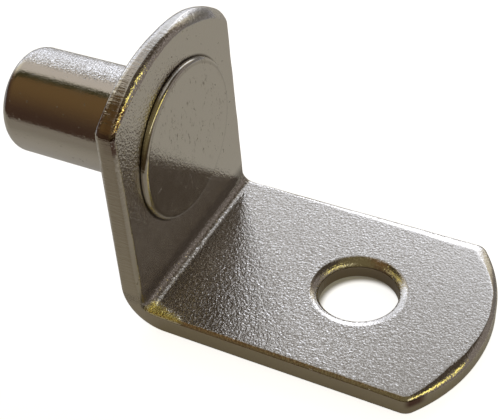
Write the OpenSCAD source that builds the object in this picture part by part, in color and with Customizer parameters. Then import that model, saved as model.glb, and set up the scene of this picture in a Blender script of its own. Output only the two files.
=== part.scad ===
// Shelf support pin: a strip of sheet steel bent square, with a turned steel peg riveted
// through its upright plate. The peg plugs into a hole in the cabinet side and the flat leg
// carries the shelf, which a screw through the leg can hold down.
//
// Frame: the origin is on the peg's axis, in the back face of the plate. The peg points
// along -X into the cabinet side, the leg along +X under the shelf, and +Z is up.

/* [Strip] */
// Width of the steel strip
strip_w = 12.7; // [9:0.1:16]
// Thickness of the steel strip
strip_t = 1.25; // [0.9:0.05:2]
// Inside radius of the bend between plate and leg
bend_r = 0.5; // [0.3:0.1:1.5]
// How much the outside radius grows as the steel stretches thin round the bend
bend_draw = 0.75; // [0:0.05:1]
// Radius of the curved end of the plate and of the leg
end_r = 9.75; // [8.5:0.05:16]
// Radius of the corners where a curved end meets the straight sides
corner_r = 0.8; // [0.6:0.1:2]
// Radius that the punch draws over the edges of the inner face
edge_roll = 0.35; // [0.1:0.05:0.5]
// Radius left on the edges of the outer face by barrel plating
burr_r = 0.12; // [0.05:0.01:0.2]

/* [Leg] */
// Reach of the leg, from the back face of the plate to the crest of its curved end
leg_len = 19.4; // [17:0.1:30]
// Diameter of the screw hole in the leg
hole_d = 4.6; // [2.5:0.1:6]
// Distance from the back face of the plate to the axis of the screw hole
hole_x = 11.75; // [7:0.05:14]
// Radius that the punch draws over the mouth of the screw hole
hole_roll = 0.3; // [0.1:0.05:0.5]

/* [Plate] */
// Height of the plate, from the underside of the leg to the crest of its curved end
plate_h = 15.8; // [14.5:0.1:26]
// Height of the peg's axis above the underside of the leg
peg_rise = 9; // [8:0.05:10]

/* [Peg] */
// Diameter of the peg, a sliding fit in a quarter inch hole
peg_d = 6.25; // [5:0.05:8]
// Length of the peg behind the plate
peg_len = 9.2; // [6:0.1:14]
// Radius turned on the tip of the peg
tip_r = 0.8; // [0.2:0.1:1.5]
// Diameter of the tenon that passes through the plate
tenon_d = 4.4; // [3:0.1:4.8]
// Clearance round the tenon, on the radius
tenon_gap = 0.02; // [0:0.01:0.1]
// Diameter of the rivet head on the inner face of the plate
head_d = 9.3; // [7:0.1:11]
// Thickness of the rivet head
head_t = 0.38; // [0.3:0.01:0.8]
// Radius round the face of the rivet head
head_roll = 0.28; // [0.1:0.01:0.3]

/* [Hidden] */
$fn = 96;

// Axis of the bend's inside curve, from the outer faces of plate and leg
inside_axis = strip_t + bend_r;
// Radius of the bend's outside curve
outside_r = inside_axis + bend_draw;
// Half of the length over which a corner's arc runs proud of the straight side
proud_run = 0.05;
// Height to which it runs proud, so that the two surfaces cross instead of just touching
proud = corner_r - sqrt(corner_r * corner_r - proud_run * proud_run);
// Distance from an end arc's centre to a corner arc's centre
corner_reach = end_r - corner_r;
// A corner arc's centre, from the middle line of the strip
corner_y = strip_w / 2 - corner_r + proud;
// Half of the angle that the end arc spans
end_angle = asin(corner_y / corner_reach);
// A corner arc's centre, along the strip from the end arc's centre
corner_x = corner_reach * cos(end_angle);
// Angle by which an arc is carried on inside its neighbour
lap_angle = 15;
// Overrun that lets a cutter pass clear of both faces
overrun = 1;

// Half of a section through the strip: middle line to outer edge, with the inner face on top
module half_section(half_w) {
    square([half_w - edge_roll, strip_t]);
    translate([0, burr_r]) square([half_w, strip_t - burr_r - edge_roll]);
    square([half_w - burr_r, strip_t - edge_roll]);
    translate([half_w - edge_roll, strip_t - edge_roll]) circle(edge_roll);
    translate([half_w - burr_r, burr_r]) circle(burr_r);
}

// Half of the same section carried on past the outer face, with its corners left square
module half_inside(half_w) {
    translate([0, -overrun]) square([half_w - edge_roll, strip_t + overrun]);
    translate([0, -overrun]) square([half_w, strip_t - edge_roll + overrun]);
    translate([half_w - edge_roll, strip_t - edge_roll]) circle(edge_roll);
}

// Both halves of a section
module across() {
    children();
    mirror([1, 0]) children();
}

// Wedge of a disc as thick as the strip, with the strip's edge round its rim
module rim_sector(radius, angle) {
    rotate_extrude(angle = angle) half_section(radius);
}

// One rounded corner and most of the curved end, about the end arc's centre. Both arcs start
// from the line through their centres.
module end_side() {
    rotate([0, 0, end_angle]) {
        mirror([0, 1, 0]) rim_sector(end_r, end_angle + lap_angle);
        translate([corner_reach, 0, 0]) rim_sector(corner_r, 90 + lap_angle - end_angle);
    }
}

// Extrusion along +X of a section that is drawn as seen from the leg's end
module along_x(length) {
    rotate([90, 0, 90]) linear_extrude(length) children();
}

// Flat length of strip along +X, from the end of the bend to a curved end at reach.
// Its inner face is on top.
module flat_leg(reach) {
    intersection() {
        translate([outside_r, 0, 0]) along_x(reach) across() half_section(strip_w / 2);
        translate([reach - end_r, 0, 0]) {
            translate([corner_x + proud_run / 4 - reach, -strip_w, -overrun])
                cube([reach, 2 * strip_w, strip_t + 2 * overrun]);
            end_side();
            mirror([0, 1, 0]) end_side();
        }
    }
}

// Quarter turn about a line across the strip, that far in from both outer faces, of a profile
// with its radius along X and the strip's width along Y
module quarter_turn(axis) {
    translate([axis, 0, axis])
        rotate([90, 0, 0])
            rotate([0, 0, 180]) rotate_extrude(angle = 90) children();
}

// Everything under the inner faces round the bend
module bend_inside() {
    quarter_turn(inside_axis)
        translate([inside_axis, 0]) rotate(90) across() half_inside(strip_w / 2);
    for (swap = [0, 1])
        mirror([swap, 0, -swap])
            translate([inside_axis, 0, 0])
                along_x(outside_r) across() half_inside(strip_w / 2);
}

// Everything within the outer skin round the bend
module bend_outside() {
    quarter_turn(outside_r)
        rotate(90) across() mirror([0, 1]) {
            square([strip_w / 2 - burr_r, outside_r]);
            square([strip_w / 2, outside_r - burr_r]);
            translate([strip_w / 2 - burr_r, outside_r - burr_r]) circle(burr_r);
        }
}

// Bend that joins the leg to the plate, tight inside and stretched thin outside
module bend() {
    intersection() {
        bend_inside();
        bend_outside();
    }
}

// Punched screw hole, with the mouth that the punch draws into the inner face
module screw_hole_cutter() {
    translate([0, 0, -overrun]) cylinder(d = hole_d, h = strip_t + 2 * overrun);
    rotate_extrude()
        difference() {
            translate([0, strip_t - hole_roll])
                square([hole_d / 2 + hole_roll, hole_roll + overrun]);
            translate([hole_d / 2 + hole_roll, strip_t - hole_roll]) circle(hole_roll);
        }
}

// Bent strip: upright plate with the peg's hole, and level leg with the screw hole
module angle_plate() {
    color([0.62, 0.6, 0.57])
        difference() {
            translate([0, 0, -peg_rise]) {
                flat_leg(leg_len);
                bend();
                mirror([1, 0, -1]) flat_leg(plate_h);
            }
            translate([hole_x, 0, -peg_rise]) screw_hole_cutter();
            rotate([0, 90, 0])
                translate([0, 0, -overrun])
                    cylinder(r = tenon_d / 2 + tenon_gap, h = strip_t + 2 * overrun);
        }
}

// Half profile of the peg from axis to skin, with its length along Y and the shoulder at 0
module peg_profile() {
    peg_r = peg_d / 2;
    head_r = head_d / 2;
    // shank, rounded at the tip
    translate([0, tip_r - peg_len]) square([peg_r, peg_len - tip_r]);
    translate([0, -peg_len]) square([peg_r - tip_r, peg_len]);
    translate([peg_r - tip_r, tip_r - peg_len]) circle(tip_r);
    // tenon through the plate
    square([tenon_d / 2, strip_t]);
    // head, spread over the inner face
    translate([0, strip_t]) {
        square([head_r, head_t - head_roll]);
        square([head_r - head_roll, head_t]);
        intersection() {
            translate([head_r - head_roll, head_t - head_roll]) circle(head_roll);
            square([head_r, head_t]);
        }
    }
}

// Turned peg, its tenon and the rivet head that holds it in the plate
module peg() {
    color([0.7, 0.68, 0.65])
        rotate([0, 90, 0]) rotate_extrude() peg_profile();
}

angle_plate();
peg();
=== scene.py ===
import math

import bpy
import numpy as np
from mathutils import Matrix, Vector


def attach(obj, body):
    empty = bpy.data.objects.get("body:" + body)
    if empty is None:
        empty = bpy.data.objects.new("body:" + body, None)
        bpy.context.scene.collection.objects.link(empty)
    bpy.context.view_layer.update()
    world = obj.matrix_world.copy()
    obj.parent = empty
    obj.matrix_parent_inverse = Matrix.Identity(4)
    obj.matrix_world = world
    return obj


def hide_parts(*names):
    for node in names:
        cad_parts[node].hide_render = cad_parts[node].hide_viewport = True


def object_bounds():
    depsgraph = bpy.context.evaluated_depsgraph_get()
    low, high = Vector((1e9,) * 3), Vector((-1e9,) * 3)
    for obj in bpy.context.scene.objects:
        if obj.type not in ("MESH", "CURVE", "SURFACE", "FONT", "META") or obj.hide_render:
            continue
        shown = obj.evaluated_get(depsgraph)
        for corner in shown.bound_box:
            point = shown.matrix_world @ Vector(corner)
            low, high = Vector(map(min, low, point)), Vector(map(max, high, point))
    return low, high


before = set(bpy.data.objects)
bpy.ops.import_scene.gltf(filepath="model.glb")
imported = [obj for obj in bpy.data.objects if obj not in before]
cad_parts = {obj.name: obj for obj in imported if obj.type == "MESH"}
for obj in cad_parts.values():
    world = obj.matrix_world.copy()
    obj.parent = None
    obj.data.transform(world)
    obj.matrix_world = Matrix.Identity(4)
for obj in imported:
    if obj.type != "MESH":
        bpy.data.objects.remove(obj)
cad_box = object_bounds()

# ---------------------------------------------------------------- camera
# The camera stands about 60 mm from the pin and looks down over the leg at the inner face of
# the plate, tipped a few degrees on its own axis.
MM = 0.001
cam_azimuth, cam_elevation, cam_roll = map(math.radians, (29.703, 41.270, -4.413))
cam_distance = 59.961 * MM
cam_target = Vector((6.184, -1.925, -2.058)) * MM
lens_length, sensor_width = 79.864, 36
cam_back = Vector((
    math.sin(cam_azimuth) * math.cos(cam_elevation),
    -math.cos(cam_azimuth) * math.cos(cam_elevation),
    math.sin(cam_elevation),
))
level_right = (-cam_back).cross(Vector((0, 0, 1))).normalized()
level_up = level_right.cross(-cam_back)
cam_right = level_right * math.cos(cam_roll) + level_up * math.sin(cam_roll)
cam_up = level_up * math.cos(cam_roll) - level_right * math.sin(cam_roll)
camera_data = bpy.data.cameras.new("camera")
camera_data.sensor_width, camera_data.lens = sensor_width, lens_length
camera_data.clip_start, camera_data.clip_end = 1 * MM, 1e4 * MM
camera = bpy.data.objects.new("camera", camera_data)
bpy.context.collection.objects.link(camera)
camera.matrix_world = (Matrix.Translation(cam_target + cam_back * cam_distance)
                       @ Matrix((cam_right, cam_up, cam_back)).transposed().to_4x4())
bpy.context.scene.camera = camera


# ---------------------------------------------------------------- studio
# A broad window of soft daylight stands behind the pin to the left, with a pale wall over and
# beside it. The room on the camera's side is dim and brown. The floor is plain white card.
class Shade:
    """A socket of a node tree. Arithmetic on it adds Math nodes; node() adds any other node."""

    def __init__(self, tree, socket=None):
        self.tree, self.socket = tree, socket

    def node(self, kind, settings=None, inputs=None, out=0):
        """Adds a node: its settings first, then the value or link of each named socket."""
        made = self.tree.nodes.new(kind)
        for name, value in (settings or {}).items():
            setattr(made, name, value)
        for name, value in (inputs or {}).items():
            if isinstance(value, Shade):
                self.tree.links.new(value.socket, made.inputs[name])
            else:
                made.inputs[name].default_value = value
        return Shade(self.tree, made.outputs[out])

    def math(self, operation, *values):
        """A Math node on values that are sockets or plain numbers."""
        inputs = dict(enumerate(values))
        return self.node("ShaderNodeMath", {"operation": operation}, inputs)

    def __add__(self, other):
        return self.math("ADD", self, other)

    __radd__ = __add__

    def __sub__(self, other):
        return self.math("SUBTRACT", self, other)

    def __rsub__(self, other):
        return self.math("SUBTRACT", other, self)

    def __mul__(self, other):
        return self.math("MULTIPLY", self, other)

    __rmul__ = __mul__

    def step(self, low, high, start=0.0, end=1.0):
        """Rises smoothly from start to end while the value goes from low to high."""
        return self.node("ShaderNodeMapRange", {"interpolation_type": "SMOOTHSTEP"},
                         {"Value": self, "From Min": low, "From Max": high,
                          "To Min": start, "To Max": end})

    def within(self, start, full, fade, end):
        """0 up to start, 1 from full to fade, and 0 again from end, with smooth steps between."""
        return self.step(start, full) * self.step(end, fade)

    def blend(self, first, second):
        """Mixes two colours, from the first where the value is 0 to the second where it is 1."""
        colours = {6: first, 7: second}
        for name, value in colours.items():
            if isinstance(value, tuple):
                colours[name] = (*value, 1)
        return self.node("ShaderNodeMix", {"data_type": "RGBA"}, {0: self, **colours}, out=2)

    def axes(self):
        """The three parts of a vector."""
        outputs = self.node("ShaderNodeSeparateXYZ", {}, {0: self}).socket.node.outputs
        return [Shade(self.tree, output) for output in outputs]

    def noise(self, scale, detail=2.0, rough=0.6):
        """Soft noise over a place, from 0 to 1, with about scale waves to a unit of length."""
        return self.node("ShaderNodeTexNoise", {}, {"Vector": self, "Scale": scale,
                                                    "Detail": detail, "Roughness": rough})


black, white = (0, 0, 0), (1, 1, 1)
room_low, room_high = (0.065, 0.037, 0.026), (0.165, 0.1, 0.042)
rear_low, rear_high = (0.05, 0.033, 0.015), (0.18, 0.148, 0.075)
room_gap, ceiling = (0.05, 0.045, 0.018), (0.54, 0.52, 0.48)
right_wall, right_shade = (0.26, 0.23, 0.215), (0.075, 0.06, 0.045)
back_wall, side_wall = (0.54, 0.55, 0.58), (0.68, 0.63, 0.58)
wall_shadow, beige_wall = (0.34, 0.33, 0.32), (0.85, 0.8, 0.66)
sky, trees, bright_sky = (1.47, 1.56, 1.78), (0.75, 0.78, 0.85), (2.4, 2.5, 2.8)
pale_lamp, warm_lamp = (1.6, 1.5, 1.0), (2.5, 2.2, 0.65)
low_wall, far_floor = (0.2, 0.19, 0.18), (0.34, 0.34, 0.37)
window_azimuth = math.radians(-150)

world = bpy.data.worlds.new("studio")
bpy.context.scene.world = world
world.use_nodes = True
world.node_tree.nodes.clear()
room = Shade(world.node_tree)
way = room.node("ShaderNodeTexCoord", out=0)
east, north, up = way.axes()
# turn is in degrees round from the middle of the window, anticlockwise from above, and lift is
# the height over the horizon in degrees. facing is 1 towards the window and -1 away from it.
side = east * math.cos(window_azimuth) + north * math.sin(window_azimuth)
facing = east * math.sin(window_azimuth) - north * math.cos(window_azimuth)
turn = room.math("ARCTAN2", side, facing) * math.degrees(1)
lift = room.math("ARCSINE", up) * math.degrees(1)
# The dim room: brown to the sides and olive behind the camera, a grey wall to the right of the
# window, a dark gap high to the left of it, and the ceiling
brown = lift.step(0, 50).blend(room_low, room_high)
olive = lift.step(-2, 25).blend(rear_low, rear_high)
light = (turn.step(115, 140) + turn.step(-110, -130)).blend(brown, olive)
grey = lift.step(28, 40).blend(right_wall, right_shade)
light = turn.within(-140, -115, -60, -30).blend(light, grey)
light = (turn.within(40, 50, 70, 82) * lift.step(30, 42)).blend(light, room_gap)
light = (lift.step(60, 70) * facing.step(-0.25, 0.05)).blend(light, ceiling)
# The pale walls: beige beside the window, cooler over it where light through leaves mottles
# them, and plain to its left
wall_left = turn + 12 * lift.step(30, 5)
light = (wall_left.step(60, 47) * turn.step(-50, -38)).blend(light, beige_wall)
over_window = lift.step(36, 44)
leaves = way.noise(9.0, 2.0, 0.5).step(0.4, 0.6)
mottled = leaves.blend(wall_shadow, back_wall)
light = (turn.within(-54, -47, 30, 40) * over_window).blend(light, mottled)
light = (turn.within(18, 34, 47, 60) * over_window).blend(light, side_wall)
# The window: sky through trees, a little brighter to the right, and clear sky low on the right
slant = lift + 1.3 * turn
glass = (0.3 * turn.step(0, -12) * lift.step(43, 37)).blend(leaves.blend(trees, sky), bright_sky)
glass = (turn.step(-2, -8) * slant.step(-16, -8) * lift.step(30, 22)).blend(glass, bright_sky)
window_top = lift + 0.2 * turn
light = (turn.within(-36, -30, 34, 40) * window_top.step(42.5, 38)).blend(light, glass)
# A strip lamp to the camera's right, a low wall under the window and the floor past the card
lamp = turn.step(-150, -120).blend(pale_lamp, warm_lamp)
light = (turn.within(-172, -162, -104, -100) * lift.within(26, 28, 34, 36)).blend(light, lamp)
under_window = slant.step(-8, -16) * lift.step(18, 10)
light = (turn.within(-75, -60, -20, -14) * under_window).blend(light, low_wall)
light = (lift.step(5, -7) * facing.step(0.2, 0.5)).blend(light, far_floor)
backdrop = room.node("ShaderNodeBackground", {}, {"Color": (*white, 1), "Strength": 1.0})
glow = room.node("ShaderNodeBackground", {}, {"Color": light, "Strength": 1.0})
seen = room.node("ShaderNodeLightPath", out="Is Camera Ray")
picked = room.node("ShaderNodeMixShader", {}, {0: seen, 1: glow, 2: backdrop})
world_out = world.node_tree.nodes.new("ShaderNodeOutputWorld")
world.node_tree.links.new(picked.socket, world_out.inputs[0])

# The card reaches further behind the pin than in front of it, where the brown room begins. Its
# colour darkens towards the front, a painted shadow of the pin. It glows a little so that it
# reads as plain white, but not in a ring under the screw hole's rim, which the leg shades.
card_left, card_right, card_front, card_back = (d * MM for d in (-45, 120, -38, 120))
card_white, card_painted_shadow = (0.88, 0.88, 0.87), (0.57, 0.54, 0.5)
shade_from, shade_to = -4 * MM, -18 * MM
floor_z = cad_box[0].z
ring_middle, ring_radii = (12.1 * MM, -0.3 * MM, floor_z), (2.15, 2.62, 3.2, 3.3)
low_glow, clear_glow = 0.05, 0.8
floor_mesh = bpy.data.meshes.new("floor")
floor_mesh.from_pydata([(card_left, card_front, floor_z), (card_right, card_front, floor_z),
                        (card_right, card_back, floor_z), (card_left, card_back, floor_z)],
                       [], [(0, 1, 2, 3)])
floor = bpy.data.objects.new("floor", floor_mesh)
bpy.context.collection.objects.link(floor)
card = bpy.data.materials.new("white_card")
card.use_nodes = True
card.node_tree.nodes.clear()
sheet = Shade(card.node_tree)
seen = sheet.node("ShaderNodeLightPath", out="Is Camera Ray")
spot = sheet.node("ShaderNodeTexCoord", out="Object")
# The card's colour darkens towards the front: a painted shadow of the pin
front = spot.axes()[1].step(shade_from, shade_to)
matt = sheet.node("ShaderNodeBsdfDiffuse", {}, {"Color": front.blend(card_white, card_painted_shadow)})
from_middle = sheet.node("ShaderNodeVectorMath", {"operation": "DISTANCE"},
                         {0: spot, 1: ring_middle}, out="Value") * (1 / MM)
clear = 1 - from_middle.within(*ring_radii)
lit = sheet.node("ShaderNodeEmission", {}, {
    "Color": (low_glow + clear_glow * seen * clear).blend(black, white)})
picked = sheet.node("ShaderNodeAddShader", {}, {0: matt, 1: lit})
card_out = card.node_tree.nodes.new("ShaderNodeOutputMaterial")
card.node_tree.links.new(picked.socket, card_out.inputs[0])
floor_mesh.materials.append(card)
bpy.context.scene.view_settings.view_transform = "Standard"


# ---------------------------------------------------------------- strip
# One strip of half inch steel, sheared to length, pierced, bent square and then barrel plated
# with nickel. The punch has drawn its edges over on the inner face, and the steel has thinned
# round the outside of the bend.
strip_width, strip_thick = 12.7, 1.25
bend_inside, bend_outside = 0.65, 2.5
end_radius, corner_radius = 9.75, 0.8
leg_reach, plate_reach, peg_rise = 19.4, 15.8, 9.0
# A hole's roll has a width and two depths, for the near side and the far side
screw_hole_at, screw_hole_radius, screw_hole_roll = 11.75, 2.3, (0.5, 0.15, 0.5)
tenon_hole_radius, tenon_hole_roll, hole_burr = 2.22, (0.05, 0.05, 0.05), 0.1
hole_far_side = math.radians(120)
# The peg's head covers the tenon hole, and round it on the plate lies a brown line of painted
# shade
head_radius, line_inside, line_outside = 4.65, 0.03, 0.17
# The drawn-over edge, as its width over the face and its depth down the edge, and the burr's
# radius on the outer face. Each has eight places along the end: where it leaves the bend on the
# near side, a little further on, the near corner, halfway to the crest, the crest, just past
# it, the far corner, and the bend on the far side.
roll_width = {"leg": (0.2, 0.2, 0.2, 0.55, 0.34, 0.26, 0.72, 0.2),
              "plate": (0.16, 0.25, 0.2, 0.42, 0.32, 0.5, 0.6, 0.2)}
roll_depth = {"leg": (0.18, 0.18, 0.22, 0.42, 0.32, 0.24, 0.17, 0.18),
              "plate": (0.14, 0.22, 0.2, 0.36, 0.34, 0.7, 0.8, 0.2)}
burr = {"leg": (0.12, 0.12, 0.14, 0.16, 0.18, 0.18, 0.14, 0.12),
        "plate": (0.12, 0.14, 0.34, 0.42, 0.5, 0.3, 0.25, 0.12)}
past_bend, past_crest, corner_past_arc = 1.4, 3.0, 7.2
roll_bow, wander_share = 1.5, 0.06
roll_steps, wall_steps, burr_steps, face_steps, cut_steps = 11, 4, 4, 14, 64
half_width = strip_width / 2


def edge_profile(width, depth, burr):
    """Inset from the outline and height over the outer face, down a drawn-over edge. The roll
    is width times 1 - sin^bow in from the outline and depth times 1 - cos^bow down from the
    face, over a quarter turn. A straight wall and a quarter circle of the burr's radius follow.
    There is a row for each step down the edge, and a column for each place along it."""
    a = np.linspace(0, np.pi / 2, roll_steps)[:, None]
    b = np.linspace(0, np.pi / 2, burr_steps)[:, None]
    share = np.linspace(0, 1, wall_steps + 2)[1:-1, None]
    wall = (strip_thick - depth) * (1 - share) + burr * share
    inset = np.concatenate([width * (1 - np.sin(a) ** roll_bow), 0 * wall,
                            burr * (1 - np.cos(b))])
    height = np.concatenate([strip_thick - depth * (1 - np.cos(a) ** roll_bow), wall,
                             burr * (1 - np.sin(b))])
    return inset, height


def edge_share(height, depth, burr):
    """0 on either face and 1 on the wall between the roll and the burr, rising with the depth
    under the inner face over the roll's depth, and with the height over the outer face over
    the burr's radius."""
    return np.clip(np.minimum((strip_thick - height) / depth, height / burr), 0, 1)


def outline(reach, spacing=0.12):
    """Points and outward normals round one end of the strip, from the bend's end along one
    side, round a corner arc, the end arc and the other corner arc, and back along the side. The
    end arc's centre lies its radius short of the reach. A corner arc touches the end arc from
    inside and the side, so its centre lies the difference of their radii from the end's."""
    reach_to_corner = end_radius - corner_radius
    corner_y = half_width - corner_radius
    open_angle = np.arcsin(corner_y / reach_to_corner)
    arc_x = reach - end_radius
    corner_x = arc_x + reach_to_corner * np.cos(open_angle)
    count = int((corner_x - bend_outside) / (2 * spacing))
    side_x = np.linspace(bend_outside, corner_x, count, endpoint=False)
    turn = np.linspace(-np.pi / 2, -open_angle, 10, endpoint=False)
    count = int(2 * open_angle * end_radius / spacing)
    sweep = np.linspace(-open_angle, open_angle, count)
    x = np.concatenate([side_x, corner_x + corner_radius * np.cos(turn),
                        arc_x + end_radius * np.cos(sweep)])
    y = np.concatenate([0 * side_x - half_width, -corner_y + corner_radius * np.sin(turn),
                        end_radius * np.sin(sweep)])
    nx = np.concatenate([0 * side_x, np.cos(turn), np.cos(sweep)])
    ny = np.concatenate([0 * side_x - 1, np.sin(turn), np.sin(sweep)])
    back = len(side_x) + len(turn)
    return (np.concatenate([x, x[:back][::-1]]), np.concatenate([y, -y[:back][::-1]]),
            np.concatenate([nx, nx[:back][::-1]]), np.concatenate([ny, -ny[:back][::-1]]))


def quads_at(row, column, rows, columns):
    """The faces with their first corners at these rows and columns of a grid that is closed
    both ways: each joins a point to the next in its row, and both to the next row."""
    next_row, next_column = (row + 1) % rows, (column + 1) % columns
    return np.stack([row * columns + column, row * columns + next_column,
                     next_row * columns + next_column, next_row * columns + column], 1)


def flat_end(flat, reach, hole_at, hole_radius, hole_roll):
    """One flat of the strip as a grid closed both ways. Its columns run round the outline and
    across the bend's end; its rows run in over the inner face, down through the hole, out over
    the outer face and up the edge. A face's rows lie on straight lines from the outline to the
    hole. A point's fourth value is its share of the edge, doubled in the hole. There is no edge
    where the flat joins the bend."""
    x, y, nx, ny = outline(reach)
    along = np.concatenate([[0], np.cumsum(np.hypot(np.diff(x), np.diff(y)))])
    corner = along[np.searchsorted(x, reach - end_radius + corner_past_arc)]
    end = along[-1]
    crest = end / 2
    places = (0, past_bend, corner, (corner + crest) / 2, crest, crest + past_crest,
              end - corner, end)
    width, depth, low = (np.interp(along, places, values[flat])
                         for values in (roll_width, roll_depth, burr))
    wander = 1 + wander_share * np.sin(1.9 * along) * np.sin(0.7 * along + 1) ** 2
    wander[[0, -1]] = 1
    width, depth = width * wander, depth * wander
    inset, height = edge_profile(width, depth, low)
    cut = np.linspace(1, 0, cut_steps)[1:-1]
    columns = len(x) + len(cut)

    def ring(inset_by):
        """The outline drawn in by an inset, and closed across the bend's end."""
        ring_x, ring_y = x - nx * inset_by, y - ny * inset_by
        return (np.concatenate([ring_x, 0 * cut + bend_outside]),
                np.concatenate([ring_y, ring_y[0] + (ring_y[-1] - ring_y[0]) * cut]))

    top_x, top_y = ring(width)
    low_x, low_y = ring(low)
    angle = np.arctan2(top_y, top_x - hole_at)

    def face(edge_x, edge_y, hole_edge, level, shares):
        """Rows over one face, each a share of the way from the edge to the hole's edge."""
        hole_x, hole_y = hole_at + hole_edge * np.cos(angle), hole_edge * np.sin(angle)
        return [(edge_x + (hole_x - edge_x) * share, edge_y + (hole_y - edge_y) * share,
                 0 * angle + level, 0 * angle) for share in shares]

    # Rows over a face, from the outline at 0 to the hole at 1, lie closer beside both
    shares = np.concatenate([[0.0, 0.03], np.linspace(0.08, 0.97, face_steps), [0.99, 1.0]])
    hole_width, near_depth, far_depth = hole_roll
    rows = face(top_x, top_y, hole_radius + hole_width, strip_thick, shares[:-1])
    lean = 0.5 + 0.5 * np.cos(angle - hole_far_side)
    hole_depth = near_depth + (far_depth - near_depth) * lean
    for hole_inset, level in zip(*edge_profile(hole_width + 0 * angle, hole_depth,
                                               hole_burr + 0 * angle)):
        radius = hole_radius + hole_inset
        rows.append((hole_at + radius * np.cos(angle), radius * np.sin(angle), level,
                     2 * edge_share(level, hole_depth, hole_burr)))
    rows += face(low_x, low_y, hole_radius + hole_burr, 0, shares[::-1][1:])
    face_rows = len(rows)
    for inset_by, level in zip(inset[::-1][1:-1], height[::-1][1:-1]):
        rows.append((*ring(inset_by), np.concatenate([level, 0 * cut]),
                     np.concatenate([edge_share(level, depth, low), 0 * cut])))
    grid = np.array(rows).transpose(0, 2, 1)
    row, column = np.indices((len(rows), columns))
    keep = (row < face_rows - 1) | (column < len(x) - 1)
    return grid.reshape(-1, 4), quads_at(row[keep], column[keep], len(rows), columns)


def bend_grid(steps=40):
    """The bend as the strip's section carried from the leg to the plate. Outside it follows a
    quarter circle; inside, a straight, a tight quarter circle and a straight; and each point of
    the section lies on the line from the outer curve to the inner at its share of the height."""
    up = np.linspace(0, 1, steps)
    near, far = [[values["leg"][end] + (values["plate"][end] - values["leg"][end]) * up
                  for values in (roll_width, roll_depth, burr)] for end in (0, -1)]
    (near_in, near_height), (far_in, far_height) = [
        [rows[1:-1].T for rows in edge_profile(*sizes)] for sizes in (near, far)]
    near_width, near_depth, near_burr = (size[:, None] for size in near)
    far_width, far_depth, far_burr = (size[:, None] for size in far)
    cut = np.linspace(0, 1, cut_steps) + 0 * near_width
    top_near, top_far = near_width - half_width, half_width - far_width
    low_near, low_far = near_burr - half_width, half_width - far_burr
    # The section goes over the inner face, down the far edge, back over the outer face and up
    # the near edge
    y = np.concatenate([top_near + (top_far - top_near) * cut, half_width - far_in,
                        low_far + (low_near - low_far) * cut,
                        (near_in - half_width)[:, ::-1]], 1)
    height = np.concatenate([0 * cut + strip_thick, far_height, 0 * cut,
                             near_height[:, ::-1]], 1)
    edge = np.concatenate([0 * cut, edge_share(far_height, far_depth, far_burr), 0 * cut,
                           edge_share(near_height, near_depth, near_burr)[:, ::-1]], 1)
    inner_axis = strip_thick + bend_inside
    straight = bend_outside - inner_axis
    curve = bend_inside * np.pi / 2
    run = np.linspace(0, 2 * straight + curve, steps)
    swept = np.clip((run - straight) / bend_inside, 0, np.pi / 2)
    inner_x = inner_axis + np.clip(straight - run, 0, None) - bend_inside * np.sin(swept)
    inner_z = (inner_axis + np.clip(run - straight - curve, 0, None)
               - bend_inside * np.cos(swept))
    swept = np.linspace(0, np.pi / 2, steps)
    outer_x, outer_z = bend_outside * (1 - np.sin(swept)), bend_outside * (1 - np.cos(swept))
    share = height / strip_thick
    x = outer_x[:, None] * (1 - share) + inner_x[:, None] * share
    z = outer_z[:, None] * (1 - share) + inner_z[:, None] * share
    rows, columns = x.shape
    row, column = np.indices((rows - 1, columns)).reshape(2, -1)
    grid = np.stack([x, y, z, edge], 2)
    return grid.reshape(-1, 4), quads_at(row, column, rows, columns)


def make_piece(name, parts, merge_steps=2e4):
    """Joins grids of points in mm into one smooth mesh, with points merged that fall on the same
    step of a millimetre. A fourth column of the points goes into the attribute edge."""
    points = np.concatenate([own_points for own_points, own_quads in parts])
    starts = np.cumsum([0] + [len(own_points) for own_points, own_quads in parts[:-1]])
    quads = np.concatenate([own_quads + start
                            for (own_points, own_quads), start in zip(parts, starts)])
    key = np.round(points[:, :3] * merge_steps).astype(np.int64)
    first, back = np.unique(key, axis=0, return_index=True, return_inverse=True)[1:]
    points, quads = points[first], back.reshape(-1)[quads]
    faces = [tuple(dict.fromkeys(q)) for q in quads.tolist()]
    mesh = bpy.data.meshes.new(name)
    mesh.from_pydata(points[:, :3] * MM, [], [f for f in faces if len(f) > 2])
    mesh.polygons.foreach_set("use_smooth", np.ones(len(mesh.polygons), bool))
    edge = mesh.attributes.new("edge", "FLOAT", "POINT")
    edge.data.foreach_set("value", points[:, 3])
    mesh.validate()
    piece = bpy.data.objects.new(name, mesh)
    bpy.context.collection.objects.link(piece)
    return piece


leg_points, leg_quads = flat_end("leg", leg_reach, screw_hole_at, screw_hole_radius,
                                 screw_hole_roll)
plate_points, plate_quads = flat_end("plate", plate_reach, peg_rise, tenon_hole_radius,
                                     tenon_hole_roll)
bend_points, bend_quads = bend_grid()
# The plate is made lying down, and stood up by changing x for z, which turns its faces over
plate_points[:, [0, 2]] = plate_points[:, [2, 0]]
for points in (leg_points, plate_points, bend_points):
    points[:, 2] -= peg_rise
strip = make_piece("bent_strip", [(leg_points, leg_quads), (plate_points, plate_quads[:, ::-1]),
                                  (bend_points, bend_quads)])

# The plating's colours, its relief in mm, and how many waves of each grain go to a millimetre
nickel, dark_nickel, pale_nickel = (0.62, 0.585, 0.53), (0.3, 0.265, 0.22), (0.98, 0.95, 0.92)
# The crease colour is painted shade, and the last colour on this line a painted dark reflection
painted_crease_shade, painted_dark_reflection = (0.12, 0.1, 0.08), (0.16, 0.09, 0.075)
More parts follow.
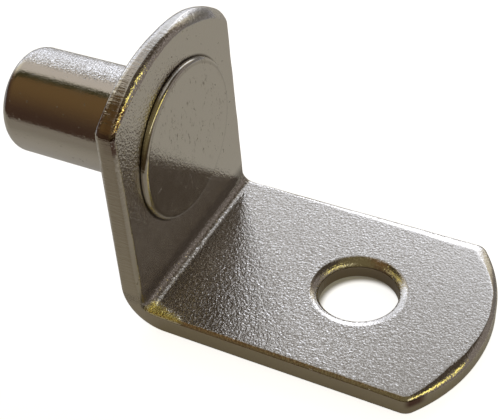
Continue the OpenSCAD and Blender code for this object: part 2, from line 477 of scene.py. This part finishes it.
# The first two colours on this line are painted shade on the walls
painted_wall_shade, painted_hole_wall_shade, bruise_gold = (0.5, 0.45, 0.37), (0.3, 0.25, 0.19), (1.0, 0.86, 0.3)
relief = 0.024
drift_grain, pit_grain, shear_grain, fine_grain, speck_grain = 1.1, 4.5, 6.0, 7.8, 11.0
satin_roughness, strip_grain, bruise_grain = 0.11, 1.15, 5.5
leg_face = strip_thick - peg_rise


def off_peg_axis(mm):
    """Distance in mm from the peg's axis."""
    x, y, z = mm.axes()
    return mm.math("SQRT", y * y + z * z)


def stretched(mm, scale, tilt=0.0):
    """A place with its axes scaled and then turned about x, so that noise over it is drawn out
    into lines."""
    return mm.node("ShaderNodeMapping", {}, {"Vector": mm, "Rotation": (tilt, 0, 0),
                                             "Scale": scale})


def nickel_plate(name, roughness, finish):
    """Nickel plate over steel, with small dark pits, a line of painted shade where the head meets
    the plate, and dark and pale specks where it sparkles. finish is the piece's own: from a
    place in mm, a slow drift and the plain colour, it gives the height of the surface, the
    colour with its marks, and how much it sparkles."""
    material = bpy.data.materials.new(name)
    material.use_nodes = True
    place = Shade(material.node_tree).node("ShaderNodeTexCoord", out="Object")
    mm = place.node("ShaderNodeVectorMath", {"operation": "SCALE"}, {0: place, "Scale": 1 / MM})
    drift = mm.noise(drift_grain)
    pit = mm.noise(pit_grain, 1.0).step(0.70, 0.76) * drift.step(0.5, 0.6)
    height, tint, sparkle = finish(mm, drift, (0.8 * pit).blend(nickel, dark_nickel))
    # A ring of painted shade on the plate round the foot of the head
    head_painted_shade = ((off_peg_axis(mm) - head_radius).step(line_outside, line_inside)
               * (mm.axes()[0] - strip_thick).within(-0.65, -0.35, 0.02, 0.05))
    tint = head_painted_shade.blend(tint, painted_crease_shade)
    speck = mm.noise(speck_grain, 1.5)
    tint = (0.65 * sparkle * speck.step(0.52, 0.3)).blend(tint, dark_nickel)
    tint = (0.9 * sparkle * speck.step(0.5, 0.7)).blend(tint, pale_nickel)
    rough = drift.step(0.3, 0.7, roughness - 0.02, roughness + 0.03)
    bump = mm.node("ShaderNodeBump", {}, {"Strength": 1.0, "Distance": relief * MM,
                                          "Height": height - pit})
    shader = material.node_tree.nodes["Principled BSDF"]
    shader.inputs["Metallic"].default_value = 1
    for socket, value in (("Base Color", tint), ("Roughness", rough), ("Normal", bump)):
        material.node_tree.links.new(value.socket, shader.inputs[socket])
    return material


def strip_finish(mm, drift, tint):
    """Grain that is coarsest on the near side of the leg, with shear lines down the walls. The
    sheared walls and the lower part of each hole's wall are darker with painted shade. The bend
    has painted shade in its inner crease, and a gold bruise at its near end. The near corners
    of the plate and the leg carry a painted dark reflection."""
    x, y, z = mm.axes()
    # Distances in mm off the plate's face, over the leg's face, in from the near edge, back
    # from the leg's end and down from the plate's
    off_plate, over_leg, from_near = x - strip_thick, z - leg_face, y + half_width
    from_end, from_crest = leg_reach - x, plate_reach - peg_rise - z
    edge = mm.node("ShaderNodeAttribute", {"attribute_name": "edge"}, out="Fac")
    wall = edge.step(0.2, 1.0)
    roll = edge.within(0.0, 0.2, 0.85, 1.0)
    fine = mm.noise(fine_grain, 1.5)
    coarse = y.step(4.0, -4.0, 0.75, 1.15) * from_end.step(1.9, 8.4, 0.6, 1.0)
    leg_lines, plate_lines = (stretched(mm, scale) for scale in ((1.0, 1.0, 0.15),
                                                                 (0.15, 1.0, 1.0)))
    lines = over_leg.step(0.25, 1.25).blend(leg_lines, plate_lines).noise(shear_grain, 3.0)
    bruise = (off_plate.within(0.1, 0.35, 2.05, 2.65) * over_leg.step(2.75, 0.95)
              * (from_near + 0.3 * x + 0.8 * fine).step(2.0, 1.5) * (1 - wall))
    height = (strip_grain * (fine * coarse * (1 - 0.85 * wall - 0.5 * roll)
                             + lines * (0.1 + 1.2 * wall)) + bruise_grain * bruise * fine)

    from_hole = mm.math("SQRT", (x - screw_hole_at) * (x - screw_hole_at) + y * y)
    # Painted shade: the sheared walls darker, and the lower part of each hole's wall darker still
    shaded_walls = edge.step(0.7, 1.0) * from_crest.step(0.6, 1.2) * from_hole.step(3.0, 3.1)
    tint = shaded_walls.blend(tint, painted_wall_shade)
    tint = bruise.blend(tint, bruise_gold)
    # Painted shade in the inner crease of the bend, where the plate meets the leg
    bend_crease_shade = over_leg.within(0.0, 0.45, 0.65, 1.55) * off_plate.within(-0.1, -0.05, 0.05, 0.35)
    tint = (0.75 * bend_crease_shade).blend(tint, painted_crease_shade)
    tint = edge.step(1.6, 1.95).blend(tint, painted_hole_wall_shade)
    # A painted dark reflection on the rolled edges at the near corners of the plate and the leg
    plate_corner_reflection = (from_near.step(1.95, 1.35) * from_crest.step(3.8, 3.2)
                    * off_plate.step(-0.85, -0.55) * edge.within(0.02, 0.2, 0.9, 1.05))
    leg_corner_reflection = (from_near.step(1.15, 0.55) * from_end.step(2.6, 2.2)
                  * over_leg.step(-0.85, -0.45) * edge.step(0.5, 0.9))
    tint = (plate_corner_reflection + leg_corner_reflection).blend(tint, painted_dark_reflection)

    on_leg = over_leg.step(0.85, 0.05) * coarse * (1 - wall) * (1 - bruise)
    return height, tint, on_leg + 0.8 * roll * z.step(-1.0, 3.0)


strip.data.materials.append(nickel_plate("satin_nickel", satin_roughness, strip_finish))
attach(strip, "root")
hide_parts("angle_plate")

# ---------------------------------------------------------------- peg
# The peg is turned from steel rod, rounded at the tip, plated, and fixed by spreading its
# tenon into a flat round head over the inner face of the plate.
peg_radius, peg_length, tip_radius = 3.125, 9.2, 0.8
tenon_radius, head_thick, head_roll = 2.2, 0.38, 0.28
# Rows this close beside a sharp corner keep it sharp
crisp = 0.03
bright_roughness, peg_grain, side_grain = 0.13, 1.5, 0.15
head_face, rim_start = strip_thick + head_thick, head_radius - head_roll


def turned(profile, columns=192):
    """A profile of distance along the axis and radius, carried round the peg's axis: y is the
    radius times the cosine of the turn, and z the radius times its sine."""
    along, radius = np.array(profile).T
    angle = np.linspace(0, 2 * np.pi, columns, endpoint=False)
    rows = len(along)
    grid = np.stack([np.broadcast_to(along[:, None], (rows, columns)),
                     radius[:, None] * np.cos(angle), radius[:, None] * np.sin(angle),
                     np.zeros((rows, columns))], 2)
    row, column = np.indices((rows - 1, columns)).reshape(2, -1)
    return grid.reshape(-1, 4), quads_at(row, column, rows, columns)


quarter = np.linspace(0, np.pi / 2, 12)
tip = [(-peg_length, r) for r in (0.0, 0.8, 1.6, 2.2, 2.3)]
tip += [(tip_radius - peg_length - tip_radius * np.cos(a),
         peg_radius - tip_radius + tip_radius * np.sin(a)) for a in quarter]
shank = [(x, peg_radius) for x in np.linspace(tip_radius - peg_length + 0.05, -crisp, 24)]
shoulder = [(0.0, peg_radius), (0.0, peg_radius - crisp), (0.0, tenon_radius + crisp),
            (0.0, tenon_radius), (crisp, tenon_radius), (strip_thick - crisp, tenon_radius),
            (strip_thick, tenon_radius), (strip_thick, tenon_radius + crisp),
            (strip_thick, head_radius - crisp), (strip_thick, head_radius)]
head = [(strip_thick + crisp, head_radius)]
head += [(head_face - head_roll + head_roll * np.sin(a),
          rim_start + head_roll * np.cos(a)) for a in quarter]
head += [(head_face, r) for r in (4.35, 4.0, 3.0, 2.0, 1.0, 0.0)]
peg = make_piece("riveted_peg", [turned(tip + shank + shoulder + head)])


def peg_finish(mm, drift, tint):
    """Grain along the top of the shank, and smooth round its sides. The head is scratched two
    ways over its upper half, with a dim line of painted shade where its rounded rim begins."""
    x, y, z = mm.axes()
    top = x.step(0.5, 0.0) * y.step(-0.85, -0.35) * z.step(1.5, 2.5)
    lines = stretched(mm, (0.2, 1.0, 1.0)).noise(shear_grain, 3.0)
    height = peg_grain * (mm.noise(fine_grain, 1.5) * (side_grain + 1.1 * top) + 0.1 * lines)
    over_head = (head_face - x).step(0.13, 0.03)
    scratch = sum(stretched(mm, (0.3, 2.6, 0.8), tilt).noise(2.6).step(0.615, 0.675)
                  for tilt in (0.5, -0.9))
    scratch = scratch * drift.step(0.44, 0.56) * z.step(-4.0, 0.0) * over_head
    tint = (0.8 * scratch).blend(tint, dark_nickel)
    # A dim ring of painted shade where the head's rounded rim begins
    rim = (off_peg_axis(mm) - rim_start).within(-0.09, -0.01, 0.05, 0.13) * over_head
    tint = (0.35 * rim).blend(tint, dark_nickel)
    return height, tint, 1.5 * top


peg.data.materials.append(nickel_plate("bright_nickel", bright_roughness, peg_finish))
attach(peg, "root")
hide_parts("peg")
